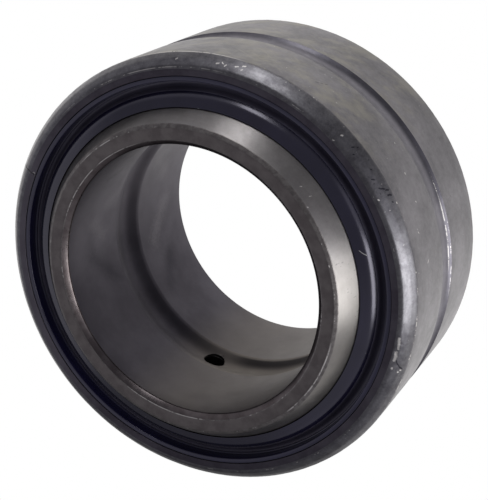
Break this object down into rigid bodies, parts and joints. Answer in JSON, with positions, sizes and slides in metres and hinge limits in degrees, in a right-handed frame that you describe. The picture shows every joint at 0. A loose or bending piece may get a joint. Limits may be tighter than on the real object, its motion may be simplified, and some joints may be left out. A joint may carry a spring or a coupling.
{
  "type": "spherical plain bearing",
  "caption": "Sealed steel bearing: a ball-shaped inner ring with a straight bore turns and tilts in a grooved outer ring, with a rubber seal on each side.",
  "frame": {"origin": "centre of the ball, on the bore's axis, midway between the two ends of the inner ring", "axes": "+Z along the inner ring's bore, towards the front end that the picture shows; +X is the line that the outer ring tilts about; it stands on the rear end of the inner ring"},
  "size_m": [0.081, 0.082, 0.0444],
  "materials": {
    "blacked_steel": "phosphated and oiled, near black on the sides, mottled grey outside",
    "ground_steel": "satin dark end faces and bore, polished ball",
    "seal_rubber": "smooth, blue-black"
  },
  "bodies": {
    "inner": {"inner_ring": "ground_steel"},
    "seals": {"front_seal": "seal_rubber", "rear_seal": "seal_rubber"},
    "outer": {"outer_ring": "blacked_steel"}
  },
  "joints": [
    {"name": "ring_tilt", "type": "hinge", "parent": "inner", "child": "seals", "pos_m": [0, 0, 0], "axis": [1, 0, 0], "range_deg": [-7.8, 4.2]},
    {"name": "ring_spin", "type": "hinge", "parent": "seals", "child": "outer", "pos_m": [0, 0, 0], "axis": [0, -0.0314, 0.9995], "continuous": true}
  ]
}
